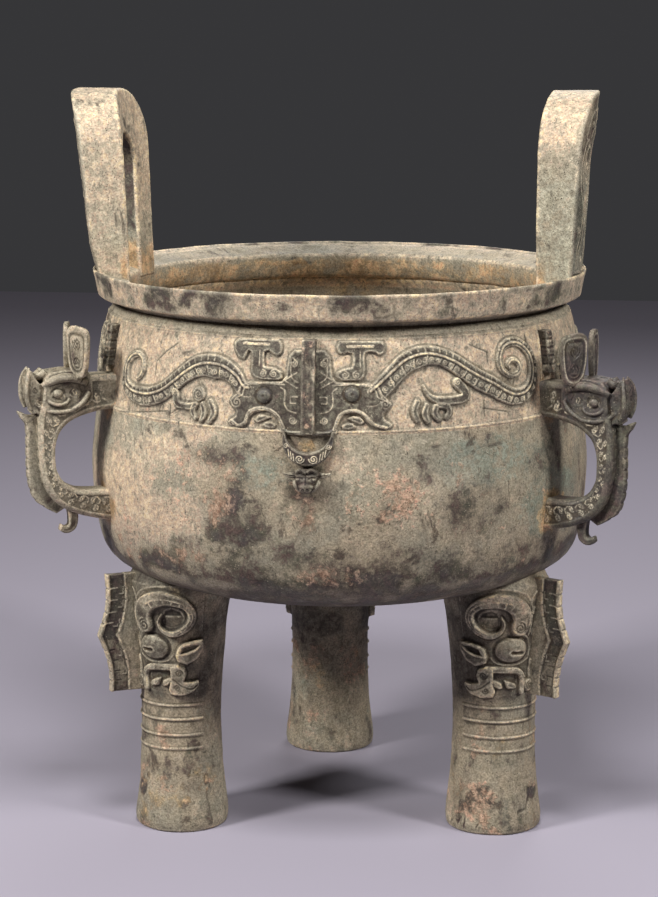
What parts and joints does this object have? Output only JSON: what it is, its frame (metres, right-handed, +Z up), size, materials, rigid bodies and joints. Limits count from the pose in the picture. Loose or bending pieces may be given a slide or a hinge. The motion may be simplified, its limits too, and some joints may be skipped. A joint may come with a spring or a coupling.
{
  "type": "round bronze ding vessel",
  "caption": "Round bronze ding: a deep bowl on column legs with beast masks, upright arch ears on the rim, beast-head loop handles and a band of dragons",
  "frame": {"origin": "on the ground, at the middle of the overall box", "axes": "+Z up; -Y is the front, with the long flange and the bull's head between two dragons; the ears stand on the -X and +X sides"},
  "size_m": [1.0004, 1.0252, 1.22],
  "materials": {
    "bronze": "buried bronze: pale tan and grey-green patina, dark brown and reddish pitted patches"
  },
  "bodies": {
    "root": {"ding": "bronze"}
  },
  "joints": []
}
